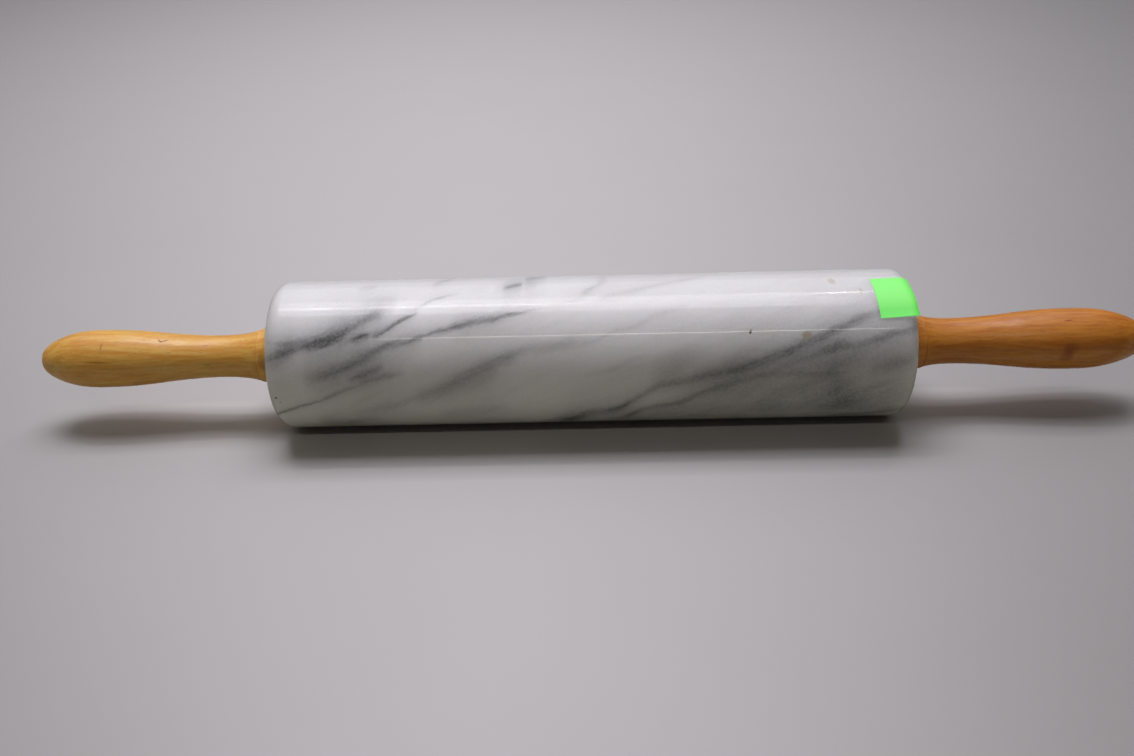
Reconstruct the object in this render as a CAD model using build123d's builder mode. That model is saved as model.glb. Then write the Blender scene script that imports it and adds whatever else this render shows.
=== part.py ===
from build123d import *
from math import cos, pi, radians, sin
import os

# Marble rolling pin, lying on a worktop.
# The pin's axis runs along X, the worktop is at Z = 0, and the origin is on the worktop
# under the middle of the barrel. Lengths are in millimetres and angles in degrees.

# Barrel
barrel_length = 254.0
barrel_radius = 30.0
rim_round = 6.0
clear_bore_radius = 6.0

# Bearing bushes in the barrel's ends
bush_wall = 3.5
bush_depth = 16.0
bush_chamfer = 0.6
flange_radius = 10.5
flange_thickness = 1.2
glue_line = 0.03

# Axle rod
rod_radius = 4.0
running_clearance = 0.06
end_float = 0.3
thread_radius = 3.0
thread_length = 20.0
thread_pitch = 1.0
thread_depth = 0.55
thread_runout_share = 0.5
tip_chamfer = 0.8

# Washers against the rod's shoulders
washer_radius = 8.0
washer_thickness = 0.8
washer_clearance = 0.2

# Threaded inserts in the handles
insert_radius = 4.6
insert_length = 14.0
insert_ridge_depth = 0.5
insert_ridges = 4
insert_sink = 0.5
thread_clearance = 0.05

# Both handles. Places are measured along the handle from its inner face.
handle_length = 96.6
collar_radius = 12.2
collar_width = 5.3
collar_edge_round = 0.9
collar_foot_radius = 10.9
collar_hollow = 0.25
quirk_width = 0.6
quirk_depth = 0.35
cove_radius = 10.6
cove_slope_share = 0.32
pilot_clearance = 0.3
pilot_extra_depth = 3.0

# Each handle is turned by eye, so the two differ: where the neck is thinnest and the grip
# is fattest, and the radius there.
handle_turning = {
    "left": {"neck_place": 22.3, "neck_radius": 8.65, "grip_place": 71.4, "grip_radius": 11.85},
    "right": {"neck_place": 17.2, "neck_radius": 9.3, "grip_place": 66.7, "grip_radius": 12.4},
}

# The curve from the neck to the grip, and from the grip to the tip, as shares of the way
# along and of the radius.
taper_place_share = 0.45
taper_radius_share = 0.44
shoulder_place_share = 0.62
shoulder_radius_share = 0.81
nose_place_share = 0.88
nose_radius_share = 0.53

# Paper label folded over the barrel's right rim
label_length = 25.0
label_width = 20.0
label_thickness = 0.12
label_glue = 0.1
label_inset = 16.0
label_angle = 66.4
label_skew = 3.3

half_barrel = barrel_length / 2
roll_axis = Axis((0, 0, barrel_radius), (1, 0, 0))

# Every profile is drawn on a plane through the axis. On the middle plane the first
# coordinate is X. On the two end planes it is the distance out from the barrel's end face.
# The second is always the radius.
middle = Plane(origin=(0, 0, barrel_radius), x_dir=(1, 0, 0), z_dir=(0, -1, 0))
ends = {
    "left": Plane(origin=(-half_barrel, 0, barrel_radius), x_dir=(-1, 0, 0), z_dir=(0, 1, 0)),
    "right": Plane(origin=(half_barrel, 0, barrel_radius), x_dir=(1, 0, 0), z_dir=(0, -1, 0)),
}

# Fits worked out from the sizes above
bush_bore_radius = rod_radius + running_clearance
bush_radius = bush_bore_radius + bush_wall
bush_seat_radius = bush_radius + glue_line
shoulder_place = flange_thickness + end_float
handle_face = shoulder_place + washer_thickness
washer_hole_radius = thread_radius + washer_clearance
insert_bore_radius = thread_radius + thread_clearance
insert_pocket_radius = insert_radius + glue_line
pilot_radius = thread_radius + pilot_clearance
pilot_depth = thread_length - washer_thickness + pilot_extra_depth

os.makedirs("parts", exist_ok=True)


def save(builder, name):
    builder.part.label = name
    export_step(builder.part, f"parts/{name}.step")


# Barrel, with a counterbore for a bush at each end
with BuildPart() as barrel:
    with BuildSketch(middle):
        with BuildLine():
            Polyline(
                (-half_barrel, bush_seat_radius),
                (-half_barrel, barrel_radius),
                (half_barrel, barrel_radius),
                (half_barrel, bush_seat_radius),
                (half_barrel - bush_depth, bush_seat_radius),
                (half_barrel - bush_depth, clear_bore_radius),
                (bush_depth - half_barrel, clear_bore_radius),
                (bush_depth - half_barrel, bush_seat_radius),
                close=True,
            )
        make_face()
    revolve(axis=roll_axis)
    rims = barrel.edges().filter_by(GeomType.CIRCLE).group_by(lambda edge: edge.radius)[-1]
    fillet(rims, radius=rim_round)
save(barrel, "barrel")


# One threaded end of the rod: grooves of a steady pitch, with a chamfered tip
def thread_outline(start, length):
    root = thread_radius - thread_depth
    turns = int((length - tip_chamfer) / thread_pitch - thread_runout_share)
    points = [(start, thread_radius)]
    for turn in range(turns):
        groove = start + turn * thread_pitch
        points.append((groove + thread_pitch / 2, root))
        points.append((groove + thread_pitch, thread_radius))
    points.append((start + length - tip_chamfer, thread_radius))
    points.append((start + length, thread_radius - tip_chamfer))
    return points


shoulder_x = half_barrel + shoulder_place
right_thread = thread_outline(shoulder_x, thread_length)
left_thread = [(-x, radius) for x, radius in reversed(right_thread)]

with BuildPart() as axle_rod:
    with BuildSketch(middle):
        with BuildLine():
            Polyline(
                (-shoulder_x - thread_length, 0),
                *left_thread,
                (-shoulder_x, rod_radius),
                (shoulder_x, rod_radius),
                *right_thread,
                (shoulder_x + thread_length, 0),
                close=True,
            )
        make_face()
    revolve(axis=roll_axis)
save(axle_rod, "axle_rod")


def make_bush(end):
    with BuildPart() as bush:
        with BuildSketch(end):
            with BuildLine():
                Polyline(
                    (-bush_depth, bush_bore_radius),
                    (-bush_depth, bush_radius - bush_chamfer),
                    (bush_chamfer - bush_depth, bush_radius),
                    (0, bush_radius),
                    (0, flange_radius),
                    (flange_thickness, flange_radius),
                    (flange_thickness, bush_bore_radius),
                    close=True,
                )
            make_face()
        revolve(axis=roll_axis)
    return bush


def make_washer(end):
    with BuildPart() as washer:
        with BuildSketch(end):
            with BuildLine():
                Polyline(
                    (shoulder_place, washer_hole_radius),
                    (shoulder_place, washer_radius),
                    (handle_face, washer_radius),
                    (handle_face, washer_hole_radius),
                    close=True,
                )
            make_face()
        revolve(axis=roll_axis)
    return washer


# Threaded insert, ridged outside so that it bites into the wood
def make_insert(end):
    start = handle_face + insert_sink
    step = insert_length / insert_ridges
    ridges = []
    for ridge in range(insert_ridges):
        ridges.append((start + ridge * step, insert_radius - insert_ridge_depth))
        ridges.append((start + (ridge + 0.5) * step, insert_radius))
    with BuildPart() as insert:
        with BuildSketch(end):
            with BuildLine():
                Polyline(
                    (start, insert_bore_radius),
                    *ridges,
                    (start + insert_length, insert_radius - insert_ridge_depth),
                    (start + insert_length, insert_bore_radius),
                    close=True,
                )
            make_face()
        revolve(axis=roll_axis)
    return insert


# Turned handle: a hollow-sided collar, a scribed quirk, then one sweep through the neck and
# the grip to a round nose. The insert's pocket and the rod's pilot hole are bored into it.
def make_handle(end, neck_place, neck_radius, grip_place, grip_radius):
    collar_middle = (collar_edge_round + collar_width) / 2
    collar_middle_radius = (collar_radius + collar_foot_radius) / 2 - collar_hollow
    cove_place = collar_width + quirk_width
    to_grip = grip_place - neck_place
    to_tip = handle_length - grip_place
    pocket_depth = insert_sink + insert_length
    start = handle_face
    with BuildPart() as handle:
        with BuildSketch(end):
            with BuildLine():
                Line((start, 0), (start, collar_radius - collar_edge_round))
                TangentArc(
                    (start, collar_radius - collar_edge_round),
                    (start + collar_edge_round, collar_radius),
                    tangent=(0, 1),
                )
                ThreePointArc(
                    (start + collar_edge_round, collar_radius),
                    (start + collar_middle, collar_middle_radius),
                    (start + collar_width, collar_foot_radius),
                )
                Polyline(
                    (start + collar_width, collar_foot_radius),
                    (start + collar_width + quirk_width / 2, cove_radius - quirk_depth),
                    (start + cove_place, cove_radius),
                )
                Spline(
                    (start + cove_place, cove_radius),
                    (start + neck_place, neck_radius),
                    (
                        start + neck_place + taper_place_share * to_grip,
                        neck_radius + taper_radius_share * (grip_radius - neck_radius),
                    ),
                    (start + grip_place, grip_radius),
                    tangents=((1, -cove_slope_share), (1, 0)),
                )
                Spline(
                    (start + grip_place, grip_radius),
                    (
                        start + grip_place + shoulder_place_share * to_tip,
                        shoulder_radius_share * grip_radius,
                    ),
                    (
                        start + grip_place + nose_place_share * to_tip,
                        nose_radius_share * grip_radius,
                    ),
                    (start + handle_length, 0),
                    tangents=((1, 0), (0, -1)),
                )
                Line((start + handle_length, 0), (start, 0))
            make_face()
        revolve(axis=roll_axis)
        with BuildSketch(end):
            with BuildLine():
                Polyline(
                    (start, 0),
                    (start, insert_pocket_radius),
                    (start + pocket_depth, insert_pocket_radius),
                    (start + pocket_depth, pilot_radius),
                    (start + pilot_depth, pilot_radius),
                    (start + pilot_depth, 0),
                    close=True,
                )
            make_face()
        revolve(axis=roll_axis, mode=Mode.SUBTRACT)
    return handle


for side, end in ends.items():
    save(make_bush(end), f"{side}_bush")
    save(make_washer(end), f"{side}_washer")
    save(make_insert(end), f"{side}_insert")
    save(make_handle(end, **handle_turning[side]), f"{side}_handle")


# Label: a thin band that follows the barrel's outline over the rim, cut to a rectangle.
# The label's plane faces straight out of the barrel at the label's middle.
label_direction = (0, -cos(radians(label_angle)), sin(radians(label_angle)))
label_plane = Plane(origin=ends["right"].origin, x_dir=(1, 0, 0), z_dir=label_direction)
label_on_rim = rim_round * pi / 2
label_on_face = label_length - (label_inset - rim_round) - label_on_rim
label_end_radius = barrel_radius - rim_round - label_on_face
label_outer_gap = label_glue + label_thickness


# The barrel's outline moved out by a gap, from beyond the label's edge to the end face
def outline_over_rim(gap):
    Line((-2 * label_inset, barrel_radius + gap), (-rim_round, barrel_radius + gap))
    TangentArc(
        (-rim_round, barrel_radius + gap),
        (gap, barrel_radius - rim_round),
        tangent=(1, 0),
    )
    Line((gap, barrel_radius - rim_round), (gap, flange_radius))


with BuildPart() as price_label:
    with BuildSketch(ends["right"]):
        with BuildLine():
            outline_over_rim(label_glue)
            outline_over_rim(label_outer_gap)
            Line(
                (-2 * label_inset, barrel_radius + label_glue),
                (-2 * label_inset, barrel_radius + label_outer_gap),
            )
            Line((label_glue, flange_radius), (label_outer_gap, flange_radius))
        make_face()
    revolve(axis=roll_axis)
    with BuildSketch(label_plane.offset(label_end_radius)):
        with Locations((-label_inset, 0)):
            Rectangle(
                label_length,
                label_width,
                rotation=label_skew,
                align=(Align.MIN, Align.CENTER),
            )
    extrude(amount=barrel_radius, mode=Mode.INTERSECT)
save(price_label, "price_label")
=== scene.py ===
import math

import bpy
from mathutils import Matrix, Vector


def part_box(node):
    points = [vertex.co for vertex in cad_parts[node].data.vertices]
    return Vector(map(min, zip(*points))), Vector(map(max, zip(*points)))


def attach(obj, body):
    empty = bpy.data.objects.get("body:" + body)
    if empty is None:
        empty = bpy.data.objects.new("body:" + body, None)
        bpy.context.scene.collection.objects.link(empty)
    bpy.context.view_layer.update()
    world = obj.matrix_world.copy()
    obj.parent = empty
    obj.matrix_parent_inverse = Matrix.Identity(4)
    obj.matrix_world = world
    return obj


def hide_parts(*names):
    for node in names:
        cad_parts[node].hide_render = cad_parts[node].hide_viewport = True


# A marble rolling pin on a pale worktop. Lengths below are in millimetres and angles in
# degrees, and are turned into metres and radians where they are used.
mm = 0.001

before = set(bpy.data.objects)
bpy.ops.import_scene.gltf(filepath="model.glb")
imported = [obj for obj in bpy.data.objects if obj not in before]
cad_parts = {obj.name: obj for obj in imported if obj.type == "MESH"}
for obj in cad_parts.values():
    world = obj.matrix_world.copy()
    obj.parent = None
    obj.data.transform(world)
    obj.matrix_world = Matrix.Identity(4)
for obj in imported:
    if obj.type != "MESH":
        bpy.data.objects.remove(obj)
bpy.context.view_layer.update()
barrelLow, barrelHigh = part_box("barrel")
barrelRadius = (barrelHigh.z - barrelLow.z) / 2
axisHeight = (barrelHigh.z + barrelLow.z) / 2
halfBarrel = barrelHigh.x
print("Frame loaded")


# Node helpers. A value that is a socket is linked, and any other value is set.
def feed(tree, socket, value):
    if isinstance(value, bpy.types.NodeSocket):
        tree.links.new(value, socket)
    else:
        socket.default_value = value


def addNode(tree, kind, inputs=None, **settings):
    made = tree.nodes.new("ShaderNode" + kind)
    for name, value in settings.items():
        setattr(made, name, value)
    for name, value in (inputs or {}).items():
        feed(tree, made.inputs[name], value)
    return made


def calculate(tree, operation, *values, clamp=False):
    made = addNode(tree, "Math", operation=operation, use_clamp=clamp)
    for socket, value in zip(made.inputs, values):
        feed(tree, socket, value)
    return made.outputs[0]


def alongVector(tree, vector, direction):
    made = addNode(tree, "VectorMath", operation="DOT_PRODUCT")
    feed(tree, made.inputs[0], vector)
    feed(tree, made.inputs[1], direction)
    return made.outputs["Value"]


def noise(tree, vector, scale, detail=2.0, roughness=0.5, distortion=0.0):
    values = {"Vector": vector, "Scale": scale, "Detail": detail, "Roughness": roughness,
              "Distortion": distortion}
    return addNode(tree, "TexNoise", values).outputs["Fac"]


def ramp(tree, value, low, high, newLow=0.0, newHigh=1.0):
    made = addNode(tree, "MapRange", interpolation_type="SMOOTHSTEP")
    for socket, given in zip(made.inputs, (value, low, high, newLow, newHigh)):
        feed(tree, socket, given)
    return made.outputs[0]


def mixColours(tree, factor, first, second, blend="MIX"):
    made = addNode(tree, "Mix", data_type="RGBA", blend_type=blend)
    for place, given in ((0, factor), (6, first), (7, second)):
        feed(tree, made.inputs[place], given)
    return made.outputs[2]


def startGroup(name, inputs, outputs):
    group = bpy.data.node_groups.new(name, "ShaderNodeTree")
    for label, kind in inputs:
        group.interface.new_socket(name=label, in_out="INPUT", socket_type="NodeSocket" + kind)
    for label, kind in outputs:
        group.interface.new_socket(name=label, in_out="OUTPUT", socket_type="NodeSocket" + kind)
    source = group.nodes.new("NodeGroupInput").outputs
    target = group.nodes.new("NodeGroupOutput").inputs
    return group, source, target


def useGroup(tree, group, inputs):
    made = tree.nodes.new("ShaderNodeGroup")
    made.node_tree = group
    for name, value in inputs.items():
        feed(tree, made.inputs[name], value)
    return made.outputs


def startMaterial(name):
    material = bpy.data.materials.new(name)
    material.use_nodes = True
    tree = material.node_tree
    shader = tree.nodes["Principled BSDF"]
    place = addNode(tree, "TexCoord").outputs["Object"]
    return material, tree, shader, place


# A place measured from the barrel's axis
def fromAxis(tree, place):
    made = addNode(tree, "VectorMath", operation="SUBTRACT")
    feed(tree, made.inputs[0], place)
    feed(tree, made.inputs[1], (0, 0, axisHeight))
    return made.outputs["Vector"]


def addBump(tree, shader, height, strength, distance):
    values = {"Height": height, "Strength": strength, "Distance": distance}
    made = addNode(tree, "Bump", values)
    feed(tree, shader.inputs["Normal"], made.outputs["Normal"])


def setShader(shader, **values):
    for name, value in values.items():
        shader.inputs[name.replace("_", " ")].default_value = value


# Camera, as the photograph was taken
camera = {
    "distance": 440.0,
    "elevation": 30.0,
    "aimAcross": -2.85,
    "lens": 33.94,
    "yaw": -0.874,
    "pitch": 1.561,
    "roll": 1.211,
}


def makeCamera():
    data = bpy.data.cameras.new("camera")
    data.lens = camera["lens"]
    data.sensor_width = 36.0
    data.clip_start = 0.01
    item = bpy.data.objects.new("camera", data)
    bpy.context.scene.collection.objects.link(item)
    bpy.context.scene.camera = item
    tilt = math.radians(camera["elevation"])
    back = Vector((0, -math.cos(tilt), math.sin(tilt)))
    aim = Vector((camera["aimAcross"] * mm, 0, axisHeight))
    turn = Matrix.Rotation(math.pi / 2 - tilt, 4, "X")
    for angle, axis in (("yaw", "Y"), ("pitch", "X"), ("roll", "Z")):
        turn = turn @ Matrix.Rotation(-math.radians(camera[angle]), 4, axis)
    item.matrix_world = Matrix.Translation(aim + back * camera["distance"] * mm) @ turn


makeCamera()
print("Camera made")


# Marble. Its veins are placed one by one, each as points along the barrel of (x, angle, strength, half
# width). The angle and the half width are in degrees round the barrel, measured from the line that faces
# the camera, which is "facing" degrees up. Values of four numbers, other than colours, are ramps: a mask's
# two ends and the results there.
marble = {
    "white": (0.92, 0.905, 0.94, 1),
    "vein": (0.14, 0.143, 0.153, 1),
    "warm": (0.62, 0.58, 0.52, 1),
    "stain": (0.40, 0.32, 0.12, 1),
    "chip": (0.01, 0.01, 0.012, 1),
    "facing": 30.0,
    "slope": 22.0,
    "sheetSize": (24.0, 4.5, 10.0),
    "wobbleSize": 11.0,
    "wobble": 2.2,
    "fineSize": 3.0,
    "fineWobble": 1.0,
    "raggedWobble": 2.3,
    "coreFade": 0.4,
    "haloWidth": 2.4,
    "haloShare": 0.38,
    "widest": 30.0,
    "blendHalf": 5.0,
    "cloudScale": 0.36,
    "clouds": (0.4, 0.75, 0.0, 0.16),
    "faintStreaks": (0.55, 0.85, 0.0, 0.08),
    "crystalScale": 1400.0,
    "crystals": (0.4, 0.75, 0.0, 0.07),
    "speckleScale": 900.0,
    "speckles": (0.3, 0.7, 0.87, 1.12),
    "veinWeight": (0.3, 0.7, 0.84, 1.2),
    "scratchScale": 260.0,
    "scratchDepth": 0.6,
    "chipDepth": 3.0,
    "bump": 0.025,
    "bumpDepth": 0.0002,
    "gloss": 0.49,
    "roughness": (0.3, 0.75, 0.08, 0.13),
    "polish": 0.155,
    "lightInside": 0.95,
    "lightReach": 0.02,
    "reachByColour": (1.0, 0.95, 0.9),
}

veins = {
    "left blob": [(-127, -4, 0.5, 7), (-122, -1.5, 0.72, 6.6), (-117.7, 2, 0.8, 6),
                  (-114.3, 4.5, 0.7, 5), (-111, 5.6, 0.6, 3.6), (-106, 7, 0.3, 3), (-102, 8, 0, 2.5)],
    "left top edge": [(-127, 9, 0, 1.5), (-122, 9.3, 0.3, 1.6), (-116, 9.5, 0.4, 1.8),
                      (-108, 9.8, 0.3, 1.8), (-103, 10, 0, 1.5)],
    "cluster": [(-112, 6, 0, 2.5), (-107.5, 7.2, 0.7, 3.5), (-102, 9.3, 0.97, 4.8), (-98, 12, 1.0, 5),
                (-94.4, 16, 0.92, 4.2), (-90.6, 20, 0.78, 3.8), (-87.2, 24.7, 0.72, 3.8),
                (-83, 29.3, 0.68, 3.6), (-79.6, 30.5, 0.3, 3.2), (-75, 33, 0, 2.5)],
    "cluster base": [(-98, 8, 0, 3), (-90, 11, 0.35, 3), (-84, 13.5, 0.3, 2.5), (-79, 17, 0, 2)],
    "cluster spot": [(-93, 9.5, 0, 1.5), (-90.6, 11, 0.6, 1.8), (-88, 12.6, 0.85, 1.7),
                     (-85.5, 14.2, 0.4, 1.4), (-84, 15, 0, 1)],
    "cluster smoke": [(-102, 18, 0, 5), (-93, 26, 0.2, 7), (-84, 36, 0.22, 8), (-74, 43, 0, 7)],
    "lower strand": [(-84, 12.2, 0, 1.3), (-82, 13.4, 0.55, 1.4), (-78.7, 17.2, 0.65, 1.5),
                     (-74.5, 22.3, 0.7, 1.5), (-71, 26.3, 0.75, 1.5), (-68.6, 28.3, 0.6, 1.3),
                     (-66, 30, 0, 1)],
    "faint rise": [(-69, 32, 0, 1.5), (-65, 37, 0.22, 1.5), (-61, 42, 0.28, 1.5), (-56, 46.5, 0.2, 1.5),
                   (-50, 50, 0, 1.5)],
    "sharp rise": [(-72, 7.5, 0.2, 2.2), (-67, 9.6, 0.4, 1.7), (-63.5, 11.5, 0.55, 1.5),
                   (-57.6, 15, 0.68, 1.6), (-50.8, 19, 0.7, 1.9), (-45.7, 21.4, 0.66, 2.2),
                   (-37.3, 23.2, 0.55, 2), (-31.3, 26.3, 0.6, 1.5), (-24.6, 29.5, 0.35, 1.3),
                   (-16, 33.5, 0, 1.2)],
    "sharp rise upper": [(-54, 20, 0, 3), (-44, 24, 0.3, 3.5), (-37, 26, 0.25, 3), (-29, 29, 0, 2)],
    "soft band": [(-112, -19, 0, 4), (-106, -17.4, 0.35, 4.5), (-98, -14.2, 0.5, 5), (-91.4, -8, 0.5, 5),
                  (-86.4, -3, 0.5, 4.4), (-81.3, 2, 0.52, 3.8), (-78, 5, 0.58, 3.2), (-74, 6.5, 0.45, 3),
                  (-69, 8.6, 0.42, 2.4), (-64, 11, 0, 2)],
    "left smoke": [(-116, -14, 0, 8), (-105, -12, 0.15, 9), (-92, -8, 0.2, 10), (-78, -5, 0.15, 9),
                   (-64, 0, 0, 8)],
    "lens": [(-95, -20, 0, 2), (-90.6, -18, 0.45, 2.6), (-86.4, -15, 0.6, 2.6), (-83, -12.5, 0.5, 2.4),
             (-79, -10.5, 0, 2)],
    "lens tail": [(-90, -22, 0, 2), (-84.7, -20.4, 0.4, 2.6), (-79.6, -18.2, 0.4, 2.4),
                  (-76, -17.4, 0.3, 2.2), (-71, -15.5, 0, 2)],
    "left low": [(-127, -52, 0.5, 1.3), (-123, -49.5, 0.7, 1.3), (-117, -44.9, 0.65, 1.4),
                 (-109, -39, 0.55, 1.3), (-102, -33.6, 0.5, 1.3), (-96, -28.8, 0.45, 1.5),
                 (-90, -24.8, 0.3, 2), (-82, -19.5, 0, 2)],
    "middle soft": [(-95, -54, 0, 5), (-88, -50, 0.25, 5), (-79.6, -45, 0.32, 5.5), (-72, -40, 0.3, 5.5),
                    (-64.4, -33.6, 0.35, 5), (-56.7, -28, 0.38, 5), (-50.8, -21.5, 0.4, 4.8),
                    (-45.7, -16.6, 0.45, 4.4), (-41.5, -12.6, 0.5, 4.6), (-37.3, -9.3, 0.52, 4.8),
                    (-33, -5.5, 0.52, 4.6), (-29.5, -3, 0.42, 4.4), (-25.4, 0, 0.32, 4),
                    (-18.6, 2, 0.26, 4), (-11, 2.6, 0.25, 3.4), (-4, 4.4, 0.16, 3), (4, 7.5, 0, 2)],
    "middle soft lower": [(-70, -38, 0, 5), (-58, -34, 0.2, 6), (-46, -27, 0.2, 6), (-34, -16, 0, 5)],
    "top lens": [(-34, 54.5, 0, 2.5), (-31, 56.6, 0.65, 3), (-29, 58, 0.65, 3), (-26, 60, 0, 2.5)],
    "top lens haze": [(-38, 54, 0, 6), (-29, 59, 0.2, 8), (-20, 65, 0, 7)],
    "top blob": [(-26, 69, 0, 6), (-21, 73, 0.4, 8), (-16, 78, 0, 6)],
    "top mark": [(-62.5, 62, 0, 4), (-59.5, 68, 0.2, 5), (-57, 73, 0.22, 5), (-53, 80, 0, 4)],
    "left top mark": [(-92, 57.5, 0, 3), (-88, 59, 0.14, 3), (-84, 61, 0, 3)],
    "root": [(-22, -78, 0, 6), (-13, -73, 0.55, 7), (-7, -69, 0.9, 8), (-2, -62, 0.6, 6),
             (4, -57, 0, 5)],
    "main band": [(-5, -61, 0, 5), (2, -57.5, 0.6, 5.5), (6, -56, 0.75, 5), (10.2, -53, 0.92, 4),
                  (16, -43.8, 0.6, 3.6), (20.3, -37.8, 0.52, 3.4), (25.4, -31.4, 0.5, 3.2),
                  (32, -28, 0.5, 3.2), (39, -25.3, 0.5, 3.2), (45, -22.8, 0.48, 3.2),
                  (50.8, -19.8, 0.5, 3.3), (57.6, -17.2, 0.55, 3.4), (63.5, -13.4, 0.5, 3.3),
                  (70.3, -9.3, 0.5, 3.2), (76.2, -5.3, 0.55, 3.2), (81.3, -1.2, 0.6, 3.3),
                  (86.4, 2.8, 0.62, 3.3), (91.4, 6.9, 0.6, 3.2), (96.5, 10.9, 0.55, 3.2),
                  (101.6, 15.5, 0.55, 3.6), (106, 19, 0.5, 4), (112, 23, 0.42, 4.5), (127, 32, 0.35, 5)],
    "second strand": [(7, -78, 0, 4), (13, -69, 0.4, 4), (17, -61, 0.7, 3.8), (22, -54.6, 0.5, 3.2),
                      (29.6, -49.8, 0.45, 2.8), (36.4, -45, 0.45, 2.8), (42.3, -38.4, 0.42, 2.8),
                      (47.4, -34.4, 0.45, 3), (53.3, -30.3, 0.5, 3.2), (57.6, -25.8, 0.45, 3.2),
                      (62.6, -24.3, 0.38, 3), (72, -22.2, 0.35, 2.6), (80.4, -22.2, 0.35, 2.6),
                      (88.9, -23, 0.28, 2.6), (97, -24, 0, 2.4)],
    "shade": [(-10, -88, 0, 14), (8, -80, 0.3, 14), (30, -66, 0.42, 18), (50, -56, 0.48, 22),
              (75, -48, 0.5, 25), (95, -46, 0.5, 26), (108, -52, 0.42, 24), (127, -60, 0.3, 22)],
    "shade above": [(26, -34, 0, 7), (45, -24, 0.2, 8), (60, -17, 0.28, 9), (75, -12, 0.32, 9.5),
                    (90, -8, 0.33, 10), (105, -8, 0.3, 11), (118, -10, 0.26, 11), (127, -10, 0.2, 11)],
    "right band": [(84, -8, 0, 3), (91, -5, 0.35, 3), (96, -2.4, 0.6, 3.6), (101, -2, 0.5, 3),
                   (107, 1, 0.52, 3.2), (113, 4.2, 0.58, 3.2), (119, 6.8, 0.58, 3.2),
                   (127, 12, 0.5, 3.2)],
    "right blob": [(106, -23, 0, 4), (112, -20, 0.3, 5), (117, -18, 0.35, 5), (125, -14, 0, 4)],
    "right lower": [(90, -78, 0, 4), (100, -74, 0.45, 4), (107, -71.5, 0.5, 3.5), (113, -70, 0.6, 3.5),
                    (119, -65.5, 0.5, 3.5), (127, -61, 0.4, 4)],
    "high faint": [(3, 39, 0, 2.5), (9, 43.8, 0.13, 2.6), (19, 48.8, 0.16, 2.8), (29, 56, 0.14, 2.6),
                   (36, 60.2, 0.14, 2.6), (43, 66, 0.1, 3), (50, 72, 0, 3)],
    "pale line": [(-5, 1, 0, 1.5), (0, 4.5, 0.12, 1.6), (9, 11.6, 0.12, 1.6), (17, 16.4, 0.1, 1.6),
                  (25, 24, 0.1, 1.8), (33, 29, 0.08, 1.8), (40, 34, 0, 1.5)],
    "pale low line": [(-4, -21, 0, 2), (2, -18.5, 0.1, 2), (9, -15, 0.12, 2), (17, -9.4, 0.1, 2),
                      (24, -5, 0, 2)],
    "low patch": [(-62, -57, 0, 5), (-50, -54, 0.2, 6), (-40, -51, 0.18, 6), (-30, -48, 0, 5)],
    "left low patch": [(-110, -70, 0, 6), (-98, -69, 0.45, 7), (-92, -66, 0.35, 7), (-82, -62, 0, 6)],
    "centre patch": [(22, -22, 0, 5), (31, -17, 0.2, 7), (38, -10, 0.14, 7), (48, -4, 0, 6)],
}

# Veins too steep to be followed along x, as points of (angle, x, strength, half width in mm)
steepVeins = {
    "arc": [(43, -2.5, 0, 1.5), (50, 0, 0.22, 1.6), (56, 3.5, 0.2, 1.6), (62, 5.3, 0.2, 1.6),
            (71, 5.6, 0.14, 1.8), (82, 4.5, 0, 2)],
    "smear": [(-62, 100, 0, 6), (-53, 99.5, 0.4, 6), (-46, 98, 0.42, 5), (-36, 95.5, 0.3, 4),
              (-27, 94, 0.35, 3.5), (-18, 93.5, 0.25, 3.5), (-8, 93, 0, 3.5)],
    "smear side": [(-64, 92, 0, 8), (-50, 104, 0.25, 9), (-38, 110, 0.2, 9), (-24, 113, 0, 8)],
}

# Small marks, as (x, angle, half length, half width, tilt, strength), the lengths in millimetres
chips = [(61.5, 9.7, 0.42, 0.85, -12, 1.0), (-123, -34, 0.5, 0.5, 0, 0.8), (-121.5, -38, 0.3, 0.3, 0, 0.5)]
stains = [(83, 6.9, 1.8, 1.1, 0, 0.58), (82.2, 4.2, 0.9, 0.9, 20, 0.35), (95.5, 54.5, 1.3, 1.9, 12, 0.38),
          (105.7, 42, 0.5, 1.6, 0, 0.4)]


# One stroke: how dark a vein is at a distance from its middle line, with a soft halo
def makeStrokeGroup():
    group, source, target = startGroup(
        "stroke",
        (("Gap", "Float"), ("Width", "Float"), ("Strength", "Float"), ("Clear", "Float")),
        (("Clear", "Float"),),
    )
    gap = calculate(group, "ABSOLUTE", source["Gap"])
    share = calculate(group, "DIVIDE", gap, calculate(group, "MAXIMUM", source["Width"], 0.01))
    core = calculate(group, "POWER", marble["coreFade"], calculate(group, "MULTIPLY", share, share))
    wide = calculate(group, "DIVIDE", share, marble["haloWidth"])
    halo = calculate(group, "DIVIDE", 1.0, calculate(group, "MULTIPLY_ADD", wide, wide, 1.0))
    both = calculate(group, "ADD", calculate(group, "MULTIPLY", core, 1 - marble["haloShare"]),
                     calculate(group, "MULTIPLY", halo, marble["haloShare"]))
    dark = calculate(group, "MULTIPLY", both, source["Strength"], clamp=True)
    feed(group, target["Clear"],
         calculate(group, "MULTIPLY", source["Clear"], calculate(group, "SUBTRACT", 1.0, dark)))
    return group


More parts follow.
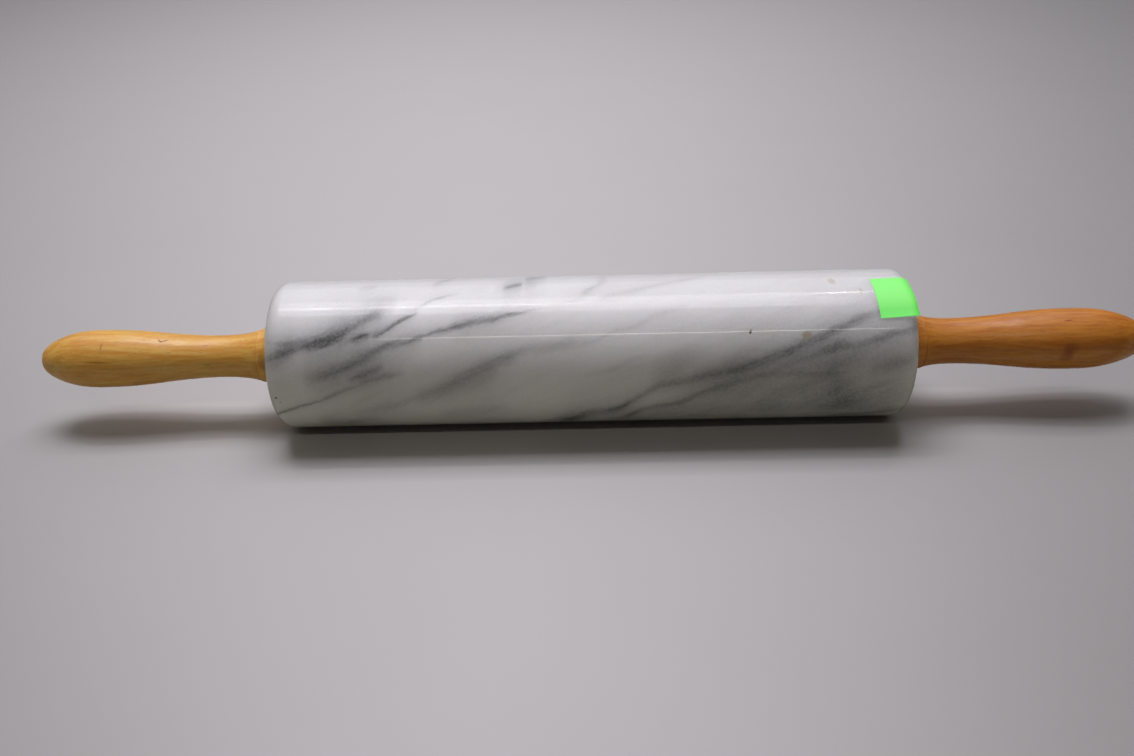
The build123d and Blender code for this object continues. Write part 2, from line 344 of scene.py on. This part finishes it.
# The curves of one vein: its middle line in red, its strength in green, its width in blue
def addVeinCurves(tree, points, reach, spread, value):
    start = calculate(tree, "MULTIPLY_ADD", value, 0.5 / reach, 0.5)
    made = addNode(tree, "RGBCurve")
    feed(tree, made.inputs["Color"], start)
    for channel in range(3):
        curve = made.mapping.curves[channel]
        rows = []
        for along, across, strength, width in points:
            heights = ((across / spread + 1) / 2, strength, width / marble["widest"])
            rows.append(((along / reach + 1) / 2, heights[channel]))
        while len(curve.points) < len(rows):
            curve.points.new(0.5, 0.5)
        for point, row in zip(curve.points, rows):
            point.location = row
            point.handle_type = "AUTO" if channel == 0 else "AUTO_CLAMPED"
    made.mapping.update()
    parts = addNode(tree, "SeparateColor", {"Color": made.outputs["Color"]}).outputs
    middle = calculate(tree, "MULTIPLY_ADD", parts["Red"], 2 * spread, -spread)
    width = calculate(tree, "MULTIPLY", parts["Blue"], marble["widest"])
    return middle, parts["Green"], width


# All the veins, as seen at a place along the barrel and round it
def makeVeinGroup():
    stroke = makeStrokeGroup()
    group, source, target = startGroup(
        "marble_veins",
        (("Along", "Float"), ("Angle", "Float"), ("Streak", "Float")),
        (("Clear", "Float"),),
    )
    clear = 1.0
    halfLength = halfBarrel / mm
    for table, along, across, reach, spread in (
        (veins, "Along", "Angle", halfLength, 90.0),
        (steepVeins, "Angle", "Along", 90.0, halfLength),
    ):
        for points in table.values():
            middle, strength, width = addVeinCurves(group, points, reach, spread, source[along])
            gap = calculate(group, "SUBTRACT", source[across], middle)
            strength = calculate(group, "MULTIPLY", strength, source["Streak"])
            values = {"Gap": gap, "Width": width, "Strength": strength, "Clear": clear}
            clear = useGroup(group, stroke, values)["Clear"]
    feed(group, target["Clear"], clear)
    return group


# How far a small mark fades out round its middle, as a share of its size squared
spotFade = 2.2


# How much of a place the small marks cover, for marks on a round surface of a given radius
def spotMask(tree, along, angle, radius, spots):
    clear = 1.0
    for x, spotAngle, halfLong, halfWide, tilt, strength in spots:
        across = calculate(tree, "SUBTRACT", along, x)
        arc = math.radians(radius)
        up = calculate(tree, "MULTIPLY_ADD", angle, arc, -spotAngle * arc)
        turnCos = math.cos(math.radians(tilt))
        turnSin = math.sin(math.radians(tilt))
        a = calculate(tree, "MULTIPLY_ADD", up, turnSin / halfLong,
                      calculate(tree, "MULTIPLY", across, turnCos / halfLong))
        b = calculate(tree, "MULTIPLY_ADD", up, turnCos / halfWide,
                      calculate(tree, "MULTIPLY", across, -turnSin / halfWide))
        gap = calculate(tree, "MULTIPLY_ADD", a, a, calculate(tree, "MULTIPLY", b, b))
        dark = ramp(tree, gap, 0.0, spotFade, strength, 0.0)
        clear = calculate(tree, "MULTIPLY", clear, calculate(tree, "SUBTRACT", 1.0, dark))
    return calculate(tree, "SUBTRACT", 1.0, clear)


def makeMarble():
    material, tree, shader, place = startMaterial("veined_marble")
    facing = math.radians(marble["facing"])
    slope = math.radians(marble["slope"])
    front = Vector((0, -math.cos(facing), math.sin(facing)))
    upward = Vector((0, math.sin(facing), math.cos(facing)))
    lengthwise = Vector((math.cos(slope), *(upward * math.sin(slope)).yz))
    crosswise = Vector((-math.sin(slope), *(upward * math.cos(slope)).yz))
    centred = fromAxis(tree, place)

    # Noise stretched along the veins, which lie in sheets through the stone
    sheets = addNode(tree, "CombineXYZ")
    for socket, direction, size in zip("XYZ", (lengthwise, crosswise, front), marble["sheetSize"]):
        feed(tree, sheets.inputs[socket], alongVector(tree, centred, direction / (size * mm)))
    sheets = sheets.outputs["Vector"]
    streak = noise(tree, sheets, 1.0, 3.0, 0.55, 0.3)
    ragged = noise(tree, sheets, 3.0, 4.0, 0.6)
    speckle = noise(tree, centred, marble["speckleScale"], 3.0, 0.65)

    # The place along the barrel and round it, with the wobble of a natural vein
    wobble = noise(tree, centred, 1000 / marble["wobbleSize"], 2.0, 0.5)
    fine = noise(tree, centred, 1000 / marble["fineSize"], 3.0, 0.6)
    shake = 0.0
    for waves, size in ((wobble, "wobble"), (fine, "fineWobble"), (ragged, "raggedWobble")):
        swing = calculate(tree, "MULTIPLY_ADD", waves, 2 * marble[size], -marble[size])
        shake = calculate(tree, "ADD", shake, swing)
    along = alongVector(tree, centred, (1 / mm, 0, 0))
    height = alongVector(tree, centred, upward / barrelRadius)
    height = calculate(tree, "MAXIMUM", calculate(tree, "MINIMUM", height, 1.0), -1.0)
    plainAngle = calculate(tree, "DEGREES", calculate(tree, "ARCSINE", height))
    angle = calculate(tree, "ADD", plainAngle, shake)
    weight = ramp(tree, streak, *marble["veinWeight"])

    # The back has the front's veins turned end for end
    veinGroup = makeVeinGroup()
    frontClear = useGroup(tree, veinGroup, {"Along": along, "Angle": angle, "Streak": weight})["Clear"]
    backClear = useGroup(tree, veinGroup, {
        "Along": calculate(tree, "MULTIPLY", along, -1.0),
        "Angle": calculate(tree, "MULTIPLY", angle, -1.0),
        "Streak": weight,
    })["Clear"]
    forward = alongVector(tree, centred, front / mm)
    side = ramp(tree, forward, -marble["blendHalf"], marble["blendHalf"])
    clear = calculate(tree, "ADD", calculate(tree, "MULTIPLY", frontClear, side),
                      calculate(tree, "MULTIPLY", backClear, calculate(tree, "SUBTRACT", 1.0, side)))

    # The stone between the veins: clouds, faint streaks and crystals
    clouds = ramp(tree, noise(tree, sheets, marble["cloudScale"], 3.0, 0.55), *marble["clouds"])
    faint = ramp(tree, streak, *marble["faintStreaks"])
    crystals = ramp(tree, noise(tree, centred, marble["crystalScale"], 2.0, 0.7), *marble["crystals"])
    white = mixColours(tree, clouds, marble["white"], marble["warm"])
    white = mixColours(tree, crystals, white, marble["vein"])
    clear = calculate(tree, "MULTIPLY", clear, calculate(tree, "SUBTRACT", 1.0, faint))
    dark = calculate(tree, "SUBTRACT", 1.0, clear)
    dark = calculate(tree, "MULTIPLY", dark, ramp(tree, speckle, *marble["speckles"]), clamp=True)
    colour = mixColours(tree, dark, white, marble["vein"])
    radius = barrelRadius / mm
    stained = calculate(tree, "MULTIPLY", spotMask(tree, along, plainAngle, radius, stains), side)
    chipped = calculate(tree, "MULTIPLY", spotMask(tree, along, plainAngle, radius, chips), side)
    colour = mixColours(tree, stained, colour, marble["stain"])
    colour = mixColours(tree, chipped, colour, marble["chip"])
    feed(tree, shader.inputs["Base Color"], colour)

    scratches = noise(tree, centred, marble["scratchScale"], 3.0, 0.6)
    feed(tree, shader.inputs["Roughness"], ramp(tree, scratches, *marble["roughness"]))
    pits = calculate(tree, "ADD", calculate(tree, "MULTIPLY", scratches, marble["scratchDepth"]),
                     calculate(tree, "MULTIPLY", chipped, -marble["chipDepth"]))
    addBump(tree, shader, pits, marble["bump"], marble["bumpDepth"])

    # The broad gloss is the coat. Under it is a weak polish, drawn out along the barrel, in
    # which the tubes show as thin lines.
    around = addNode(tree, "Tangent", direction_type="RADIAL", axis="X").outputs["Tangent"]
    feed(tree, shader.inputs["Tangent"], around)
    setShader(shader, Coat_Weight=1.0, Coat_Roughness=marble["gloss"], Coat_IOR=1.5,
              Specular_IOR_Level=marble["polish"], Anisotropic=1.0, Anisotropic_Rotation=0.25,
              Subsurface_Weight=marble["lightInside"], Subsurface_Scale=marble["lightReach"],
              Subsurface_Radius=marble["reachByColour"])
    return material


# Wood, shared by both handles. Each noise of the grain has its scale along and across, its
# detail and its roughness, and an "Edge" holds a mask's two ends. The quirk is the groove
# beside the collar, and its place is how far it is from the barrel's middle.
wood = {
    "fibres": (85.0, 850.0, 5.0, 0.7),
    "broad": (22.0, 210.0, 3.0, 0.55),
    "drift": (9.0, 90.0, 2.0, 0.5),
    "wear": (95.0, 330.0, 4.0, 0.6),
    "pores": (170.0, 1700.0, 2.0, 0.55),
    "poreEdge": (0.6, 0.74),
    "poreShare": 0.5,
    "poreDepth": 0.6,
    "ringLean": 0.45,
    "ringDrift": 2.2,
    "ringShare": 0.08,
    "broadShare": 0.27,
    "fibreShare": 0.65,
    "tone": (0.36, 0.62),
    "quirkPlace": 134.9,
    "quirkEdge": (0.2, 0.45),
    "wearEdge": (0.3, 0.7),
    "rougher": 0.12,
    "smoother": 0.04,
    "lacquerEdge": (0.35, 0.65),
    "bump": 0.4,
    "bumpDepth": 0.0004,
}


# The grain: soft rings cut lengthwise, fibres, and short dark pores
def makeGrainGroup():
    group, source, target = startGroup(
        "wood_grain",
        (("Place", "Vector"), ("Ring", "Float")),
        (("Tone", "Float"), ("Pores", "Float"), ("Wear", "Float"), ("Height", "Float")),
    )

    def stretched(name):
        lengthwise, crosswise, detail, roughness = wood[name]
        values = {"Vector": source["Place"], "Scale": (lengthwise, crosswise, crosswise)}
        placed = addNode(group, "Mapping", values)
        return noise(group, placed.outputs["Vector"], 1.0, detail, roughness)

    fibres = stretched("fibres")
    parts = addNode(group, "SeparateXYZ", {"Vector": source["Place"]}).outputs
    across = calculate(group, "MULTIPLY_ADD", parts["Z"], wood["ringLean"], parts["Y"])
    turns = calculate(group, "DIVIDE", across, source["Ring"])
    turns = calculate(group, "MULTIPLY_ADD", stretched("drift"), wood["ringDrift"], turns)
    wave = calculate(group, "SINE", calculate(group, "MULTIPLY", turns, 2 * math.pi))
    rings = calculate(group, "MULTIPLY_ADD", wave, 0.5, 0.5)
    pores = ramp(group, stretched("pores"), *wood["poreEdge"])
    tone = calculate(group, "MULTIPLY", rings, wood["ringShare"])
    tone = calculate(group, "MULTIPLY_ADD", stretched("broad"), wood["broadShare"], tone)
    tone = calculate(group, "MULTIPLY_ADD", fibres, wood["fibreShare"], tone)
    feed(group, target["Tone"], tone)
    feed(group, target["Pores"], pores)
    feed(group, target["Wear"], stretched("wear"))
    height = calculate(group, "MULTIPLY_ADD", pores, -wood["poreDepth"], fibres)
    feed(group, target["Height"], height)
    return group


# The marks on a handle are placed as the barrel's are, with the angle measured all the way
# round. "middling" is the handle's radius near them.
handles = {
    "left_handle": {
        "light": (0.98, 0.56, 0.12, 1),
        "dark": (0.83, 0.352, 0.042, 1),
        "pore": (0.30, 0.125, 0.025, 1),
        "mark": (0.24, 0.075, 0.012, 1),
        "groove": (1.0, 0.85, 0.5, 1),
        "groovePaintedLightShare": 0.14,
        "ring": 0.0052,
        "roughness": 0.48,
        "lacquer": 0.36,
        "lacquerThin": 0.3,
        "lacquerThick": 0.95,
        "middling": 11.0,
        "marks": [(-174.6, 41.0, 1.2, 0.4, -38, 0.75), (-172.9, 42.0, 1.6, 0.4, 24, 0.75),
                  (-197.4, 24.0, 0.4, 1.5, -8, 0.42), (-198.5, -8.0, 4.6, 0.25, -2, 0.6),
                  (-156.2, 31.0, 1.0, 0.2, 0, 0.5), (-142.0, 40.0, 0.4, 0.3, 0, 0.5),
                  # These two darken the collar's lower side next to the barrel, as painted shade
                  (-132.2, -12.0, 1.6, 3.2, 0, 0.4), (-131.0, -30.0, 1.0, 2.0, 10, 0.25)],
    },
    "right_handle": {
        "light": (0.73, 0.272, 0.03, 1),
        "dark": (0.54, 0.155, 0.008, 1),
        "pore": (0.22, 0.07, 0.015, 1),
        "mark": (0.34, 0.065, 0.008, 1),
        "groove": (1.0, 0.68, 0.28, 1),
        "groovePaintedLightShare": 0.09,
        "ring": 0.0061,
        "roughness": 0.5,
        "lacquer": 0.25,
        "lacquerThin": 0.2,
        "lacquerThick": 0.7,
        "middling": 12.0,
        "marks": [(192.0, -18.0, 2.7, 2.2, 15, 0.5), (190.2, -37.0, 2.4, 2.4, -10, 0.42),
                  (190.8, -27.0, 1.6, 3.0, 25, 0.42), (191.2, 35.0, 1.6, 0.3, 6, 0.9)],
    },
}


def makeWood(name, grain):
    look = handles[name]
    material, tree, shader, place = startMaterial(name + "_wood")
    seen = useGroup(tree, grain, {"Place": place, "Ring": look["ring"]})
    tone = ramp(tree, seen["Tone"], *wood["tone"])
    colour = mixColours(tree, tone, look["dark"], look["light"])
    pores = calculate(tree, "MULTIPLY", seen["Pores"], wood["poreShare"])
    colour = mixColours(tree, pores, colour, look["pore"])
    facing = math.radians(marble["facing"])
    centred = fromAxis(tree, place)
    along = alongVector(tree, centred, (1 / mm, 0, 0))
    upward = alongVector(tree, centred, (0, math.sin(facing), math.cos(facing)))
    toward = alongVector(tree, centred, (0, -math.cos(facing), math.sin(facing)))
    angle = calculate(tree, "DEGREES", calculate(tree, "ARCTAN2", upward, toward))
    marked = spotMask(tree, along, angle, look["middling"], look["marks"])
    colour = mixColours(tree, marked, colour, look["mark"])

    # The quirk's groove is painted paler, as painted light against the shade that falls in it
    fromMiddle = calculate(tree, "ABSOLUTE", along)
    fromQuirk = calculate(tree, "ABSOLUTE", calculate(tree, "SUBTRACT", fromMiddle, wood["quirkPlace"]))
    groove = ramp(tree, fromQuirk, *wood["quirkEdge"], look["groovePaintedLightShare"], 0.0)
    colour = mixColours(tree, groove, colour, look["groove"])
    feed(tree, shader.inputs["Base Color"], colour)
    worn = look["roughness"] + wood["rougher"]
    kept = look["roughness"] - wood["smoother"]
    feed(tree, shader.inputs["Roughness"], ramp(tree, seen["Wear"], *wood["wearEdge"], worn, kept))

    # The lacquer is worn in patches, and broken at the marks
    coat = ramp(tree, seen["Wear"], *wood["lacquerEdge"], look["lacquerThin"], look["lacquerThick"])
    coat = calculate(tree, "MULTIPLY", coat, calculate(tree, "SUBTRACT", 1.0, marked))
    feed(tree, shader.inputs["Coat Weight"], coat)
    addBump(tree, shader, seen["Height"], wood["bump"], wood["bumpDepth"])
    setShader(shader, Coat_Roughness=look["lacquer"], Coat_IOR=1.5)
    return material


# The label's paper. Its colour is darker towards the lower edge, as painted shade, over the heights of
# "lowRise" in metres, and it glows a little, as painted light.
paper = {
    "green": (0.255, 0.96, 0.2, 1),
    "paintedShadeGreen": (0.07, 0.78, 0.09, 1),
    "lowRise": (0.05, 0.0575),
    "paintedGlow": (0.2, 1.0, 0.13, 1),
    "paintedGlowStrength": 0.26,
    "back": (0.8, 0.8, 0.78, 1),
    "paintedBackGlow": 0.22,
    "backFibres": (0.3, 0.7, 0.0, 0.2),
    "backRoughness": 0.8,
    "fibreScale": 1800.0,
    "blotchScale": 160.0,
    "mottle": 0.3,
    "mottleShade": (0.8, 0.8, 0.8, 1),
    "roughness": (0.3, 0.7, 0.5, 0.62),
    "shine": 0.8,
    "bump": 0.2,
    "bumpDepth": 0.0001,
}


def makePaper():
    material, tree, shader, place = startMaterial("green_paper_label")
    fibres = noise(tree, place, paper["fibreScale"], 3.0, 0.7)
    blotches = noise(tree, place, paper["blotchScale"], 2.0, 0.5)
    shade = calculate(tree, "ADD", calculate(tree, "MULTIPLY", fibres, paper["mottle"]),
                      calculate(tree, "MULTIPLY", blotches, paper["mottle"]))
    # Painted shade: the green darkens towards the lower edge
    rise = addNode(tree, "SeparateXYZ", {"Vector": place}).outputs["Z"]
    high = ramp(tree, rise, *paper["lowRise"])
    green = mixColours(tree, high, paper["paintedShadeGreen"], paper["green"])
    darker = mixColours(tree, 1.0, green, paper["mottleShade"], "MULTIPLY")
    feed(tree, shader.inputs["Base Color"], mixColours(tree, shade, green, darker))
    feed(tree, shader.inputs["Roughness"], ramp(tree, fibres, *paper["roughness"]))
    addBump(tree, shader, fibres, paper["bump"], paper["bumpDepth"])
    # The paper glows a little, as painted light, beyond what the lamps give it
    setShader(shader, Specular_IOR_Level=paper["shine"], Emission_Color=paper["paintedGlow"],
              Emission_Strength=paper["paintedGlowStrength"])
    return material


# The label's white back. It glows a little, as painted light, so some light reaches the stone under the
# label
def makePaperBack():
    material, tree, shader, place = startMaterial("paper_label_back")
    fibres = ramp(tree, noise(tree, place, paper["fibreScale"], 3.0, 0.7), *paper["backFibres"])
    feed(tree, shader.inputs["Base Color"], mixColours(tree, fibres, paper["back"], paper["green"]))
    setShader(shader, Roughness=paper["backRoughness"], Emission_Color=paper["back"],
              Emission_Strength=paper["paintedBackGlow"])
    return material


# The label's sheet. It keeps the barrel's roundness and folds over the rim. Towards its lower
# edge the fold is tighter, the part past the fold is tucked upwards, and the edge curls up.
label = {
    "length": 25.0,
    "width": 20.0,
    "thickness": 0.12,
    "glue": 0.1,
    "inset": 16.0,
    "direction": 66.4,
    "skew": 3.3,
    "foldLow": 3.2,
    "foldHigh": 5.6,
    "lowMiddle": 1.5,
    "lowSpan": 16.0,
    "tuck": 3.5,
    "tuckDepth": 3.0,
    "curl": 0.45,
    "curlWidth": 3.5,
    "stepsAlong": 75,
    "stepsAcross": 40,
    "sharpAngle": 40.0,
}


def smooth(value):
    value = min(max(value, 0.0), 1.0)
    return value * value * (3 - 2 * value)


# A point of the sheet: how far along it, how far up from its middle line, and its height
# above the marble
def labelPoint(along, across, height):
    radius = barrelRadius / mm
    skew = math.radians(label["skew"])
    out = math.radians(label["direction"])
    far = along * math.cos(skew) - across * math.sin(skew)
    up = along * math.sin(skew) + across * math.cos(skew)
    lowness = smooth(0.5 - (across - label["lowMiddle"]) / label["lowSpan"])
    fold = label["foldHigh"] + (label["foldLow"] - label["foldHigh"]) * lowness
    curled = max(label["curlWidth"] - (across + label["width"] / 2), 0) / label["curlWidth"]
    height += label["curl"] * curled ** 2
    flat = label["inset"] - fold
    turn = min(max((far - flat) / fold, 0), math.pi / 2)
    hanging = max(far - flat - fold * math.pi / 2, 0)
    drop = fold * (1 - math.cos(turn)) + hanging
    up += label["tuck"] * lowness * (1 - math.exp(-drop / label["tuckDepth"]))
    x = halfBarrel / mm - label["inset"] + min(far, flat) + (fold + height) * math.sin(turn)
    rise = radius - fold + (fold + height) * math.cos(turn)
    rise -= hanging
    rise -= radius - math.sqrt(radius ** 2 - up ** 2)
    y = -rise * math.cos(out) + up * math.sin(out)
    z = rise * math.sin(out) + up * math.cos(out)
    return Vector((x * mm, y * mm, z * mm + axisHeight))


def makeLabel():
    across = label["stepsAcross"] + 1
    count = across * (label["stepsAlong"] + 1)
    points = []
    for height in (label["glue"], label["glue"] + label["thickness"]):
        for i in range(label["stepsAlong"] + 1):
            far = i * label["length"] / label["stepsAlong"]
            for j in range(across):
                side = (j / label["stepsAcross"] - 0.5) * label["width"]
                points.append(labelPoint(far, side, height))
    faces = []
    for i in range(label["stepsAlong"]):
        for j in range(label["stepsAcross"]):
            corner = i * across + j
            under = (corner, corner + 1, corner + across + 1, corner + across)
            faces.append(under)
            faces.append(tuple(count + k for k in (under[0], *under[:0:-1])))
    loop = [i * across for i in range(label["stepsAlong"])]
    loop += [label["stepsAlong"] * across + j for j in range(label["stepsAcross"])]
    loop += [i * across + across - 1 for i in range(label["stepsAlong"], 0, -1)]
    loop += list(range(label["stepsAcross"], 0, -1))
    for first, second in zip(loop, loop[1:] + loop[:1]):
        faces.append((first, second, count + second, count + first))
    mesh = bpy.data.meshes.new("price_label_paper")
    mesh.from_pydata(points, [], faces)
    # The faces lie in pairs, the underside's first, with the edges' faces after them
    sheetFaces = 2 * label["stepsAlong"] * label["stepsAcross"]
    for number, face in enumerate(mesh.polygons):
        face.use_smooth = True
        face.material_index = 1 if number < sheetFaces and number % 2 == 0 else 0
    mesh.set_sharp_from_angle(angle=math.radians(label["sharpAngle"]))
    mesh.materials.append(makePaper())
    mesh.materials.append(makePaperBack())
    item = bpy.data.objects.new("price_label_paper", mesh)
    bpy.context.scene.collection.objects.link(item)
    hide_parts("price_label")
    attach(item, "roller")


# Turned metal, with fine marks round the axis and a little tarnish
turning = {
    "markScale": (4000.0, 90.0, 90.0),
    "tarnishScale": 220.0,
    "tarnish": (0.45, 0.8),
    "roughEdge": (0.2, 0.8),
    "smoother": 0.08,
    "rougher": 0.12,
    "bump": 0.1,
    "bumpDepth": 0.00005,
}

metals = {
    "steel": {"colour": (0.56, 0.57, 0.58, 1), "dull": (0.33, 0.33, 0.34, 1), "roughness": 0.3},
    "brass": {"colour": (0.78, 0.56, 0.22, 1), "dull": (0.45, 0.29, 0.11, 1), "roughness": 0.35},
}


def makeMetal(name):
    look = metals[name]
    material, tree, shader, place = startMaterial("turned_" + name)
    stretched = addNode(tree, "Mapping", {"Vector": place, "Scale": turning["markScale"]})
    marks = noise(tree, stretched.outputs["Vector"], 1.0, 3.0, 0.6)
    tarnish = ramp(tree, noise(tree, place, turning["tarnishScale"], 4.0, 0.6), *turning["tarnish"])
    feed(tree, shader.inputs["Base Color"], mixColours(tree, tarnish, look["colour"], look["dull"]))
    smoothest = look["roughness"] - turning["smoother"]
    roughest = look["roughness"] + turning["rougher"]
    feed(tree, shader.inputs["Roughness"], ramp(tree, marks, *turning["roughEdge"], smoothest, roughest))
    addBump(tree, shader, marks, turning["bump"], turning["bumpDepth"])
    setShader(shader, Metallic=1.0)
    return material


nylon = {
    "colour": (0.74, 0.72, 0.66, 1),
    "aged": (0.6, 0.55, 0.45, 1),
    "cloudScale": 120.0,
    "clouds": (0.35, 0.8),
    "skinScale": 2500.0,
    "roughness": (0.2, 0.8, 0.36, 0.5),
    "lightInside": 0.1,
    "lightReach": 0.002,
    "bump": 0.08,
    "bumpDepth": 0.00005,
}


def makeNylon():
    material, tree, shader, place = startMaterial("moulded_nylon")
    clouds = ramp(tree, noise(tree, place, nylon["cloudScale"], 3.0, 0.5), *nylon["clouds"])
    skin = noise(tree, place, nylon["skinScale"], 2.0, 0.5)
    feed(tree, shader.inputs["Base Color"], mixColours(tree, clouds, nylon["colour"], nylon["aged"]))
    feed(tree, shader.inputs["Roughness"], ramp(tree, skin, *nylon["roughness"]))
    addBump(tree, shader, skin, nylon["bump"], nylon["bumpDepth"])
    setShader(shader, Subsurface_Weight=nylon["lightInside"], Subsurface_Scale=nylon["lightReach"])
    return material


def dress(node, material):
    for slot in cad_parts[node].material_slots:
        slot.material = material


def dressAll():
    dress("barrel", makeMarble())
    grain = makeGrainGroup()
    for name in handles:
        dress(name, makeWood(name, grain))
    steel = makeMetal("steel")
    brass = makeMetal("brass")
    plastic = makeNylon()
    dress("axle_rod", steel)
    for side in ("left", "right"):
        dress(side + "_washer", steel)
        dress(side + "_insert", brass)
        dress(side + "_bush", plastic)


dressAll()
makeLabel()
print("Materials made")


# Worktop, in metres. Its colour carries a painted falloff of light that spreads from the front like a fan,
# evens out beyond the camera's view, and gives way to one tone far off. "bounce" is what it lends the pin.
worktop = {
    "colour": (0.64, 0.618, 0.63, 1),
    "patchShade": 0.94,
    "patchScale": 9.0,
    "roughness": (0.2, 0.8, 0.6, 0.7),
    "polish": 0.15,
    "bounce": (0.35, 0.34, 0.285, 1),
    "bounceBehind": (0.47, 0.455, 0.45, 1),
    "behind": (0.03, 0.12),
    "fanSpread": 0.866,
    "fanStart": 0.455,
    "fanLeast": 0.3,
    "fanLean": 0.105,
    "fanShade": (0.0, 0.92, 1.0, 0.5),
    "evenShade": 0.8,
    "frontFade": (-0.6, -0.2),
    "backFade": (2.0, 1.0),
    "farMiddle": (0, 0.5, 0),
    "farEdge": (0.78, 1.4),
    "halfSize": 4.0,
    "below": 0.0001,
}
backdrop = {"colour": (1.0, 0.93, 0.84, 1), "strength": 0.015, "seen": (0.50, 0.49, 0.51, 1)}

# The lamps stand round the barrel's axis, all equally far off: how high each is above the
# front horizon, where its middle is along x, and its size, power and colour
lampDistance = 1300.0
lamps = {
    "panel": {"rise": 103.0, "across": -80.0, "long": 940.0, "wide": 600.0, "power": 10.1,
              "colour": (1.0, 0.985, 1.04)},
    "ceiling": {"rise": 111.0, "across": -400.0, "long": 3600.0, "wide": 1700.0, "power": 3.6,
                "colour": (1.0, 0.985, 0.96)},
    "back wall": {"rise": 138.0, "across": -150.0, "long": 2400.0, "wide": 900.0, "power": 2.8,
                  "colour": (1.0, 0.985, 1.0)},
    "left tube": {"rise": 103.4, "across": -277.0, "long": 560.0, "wide": 16.0, "power": 1.7,
                  "colour": (1.0, 0.98, 1.0)},
    "front tube": {"rise": 50.7, "across": 72.0, "long": 834.0, "wide": 12.0, "power": 1.35,
                   "colour": (1.0, 0.975, 0.84)},
    "right tube": {"rise": 113.7, "across": 432.0, "long": 72.0, "wide": 22.0, "power": 0.5,
                   "colour": (1.0, 0.98, 1.0)},
}


def makeWorktop():
    size = worktop["halfSize"]
    mesh = bpy.data.meshes.new("worktop")
    corners = [(x * size, y * size, -worktop["below"]) for x, y in ((-1, -1), (1, -1), (1, 1), (-1, 1))]
    mesh.from_pydata(corners, [], [(0, 1, 2, 3)])
    item = bpy.data.objects.new("worktop", mesh)
    bpy.context.scene.collection.objects.link(item)
    material, tree, shader, place = startMaterial("pale_worktop")
    patches = noise(tree, place, worktop["patchScale"], 3.0, 0.5)
    darker = tuple(worktop["patchShade"] * part for part in worktop["colour"][:3]) + (1,)
    seen = addNode(tree, "LightPath").outputs["Is Camera Ray"]
    colour = mixColours(tree, patches, worktop["colour"], darker)
    parts = addNode(tree, "SeparateXYZ", {"Vector": place}).outputs
    # Painted falloff of light: darker to both sides, fanning out from the front
    depth = calculate(tree, "MULTIPLY_ADD", parts["Y"], worktop["fanSpread"], worktop["fanStart"])
    depth = calculate(tree, "MAXIMUM", depth, worktop["fanLeast"])
    fan = calculate(tree, "DIVIDE", parts["X"], depth)
    fan = calculate(tree, "ABSOLUTE", calculate(tree, "ADD", fan, worktop["fanLean"]))
    paintedFalloff = ramp(tree, fan, *worktop["fanShade"])
    within = calculate(tree, "MULTIPLY", ramp(tree, parts["Y"], *worktop["frontFade"]),
                       ramp(tree, parts["Y"], *worktop["backFade"]))
    even = worktop["evenShade"]
    paintedFalloff = calculate(tree, "MULTIPLY_ADD", calculate(tree, "SUBTRACT", paintedFalloff, even), within, even)
    colour = mixColours(tree, 1.0, colour, paintedFalloff, "MULTIPLY")

    # Far off it keeps the backdrop's tone instead of falling dark
    spread = addNode(tree, "VectorMath", operation="DISTANCE")
    feed(tree, spread.inputs[0], place)
    feed(tree, spread.inputs[1], worktop["farMiddle"])
    away = ramp(tree, spread.outputs["Value"], *worktop["farEdge"])
    colour = mixColours(tree, away, colour, (0, 0, 0, 1))
    feed(tree, shader.inputs["Emission Color"], backdrop["seen"])
    feed(tree, shader.inputs["Emission Strength"], calculate(tree, "MULTIPLY", away, seen))
    behind = ramp(tree, parts["Y"], *worktop["behind"])
    bounce = mixColours(tree, behind, worktop["bounce"], worktop["bounceBehind"])
    feed(tree, shader.inputs["Base Color"], mixColours(tree, seen, bounce, colour))
    feed(tree, shader.inputs["Roughness"], ramp(tree, patches, *worktop["roughness"]))
    setShader(shader, Specular_IOR_Level=worktop["polish"])
    mesh.materials.append(material)


def makeLamp(name, look):
    data = bpy.data.lights.new(name, "AREA")
    data.shape = "RECTANGLE"
    data.size = look["long"] * mm
    data.size_y = look["wide"] * mm
    data.energy = look["power"]
    data.color = look["colour"]
    item = bpy.data.objects.new(name, data)
    bpy.context.scene.collection.objects.link(item)
    rise = math.radians(look["rise"])
    outward = Vector((0, -math.cos(rise), math.sin(rise)))
    item.location = Vector((look["across"] * mm, 0, axisHeight)) + outward * lampDistance * mm
    item.rotation_euler = (math.pi / 2 - rise, 0, 0)


def makeBackdrop():
    world = bpy.data.worlds.new("studio")
    bpy.context.scene.world = world
    world.use_nodes = True
    tree = world.node_tree
    shader = tree.nodes["Background"]
    seen = addNode(tree, "LightPath").outputs["Is Camera Ray"]
    feed(tree, shader.inputs["Color"], mixColours(tree, seen, backdrop["colour"], backdrop["seen"]))
    strength = calculate(tree, "MULTIPLY_ADD", seen, 1 - backdrop["strength"], backdrop["strength"])
    feed(tree, shader.inputs["Strength"], strength)


makeWorktop()
for name, look in lamps.items():
    makeLamp(name, look)
makeBackdrop()
bpy.context.scene.view_settings.view_transform = "Standard"
print("Stage made")
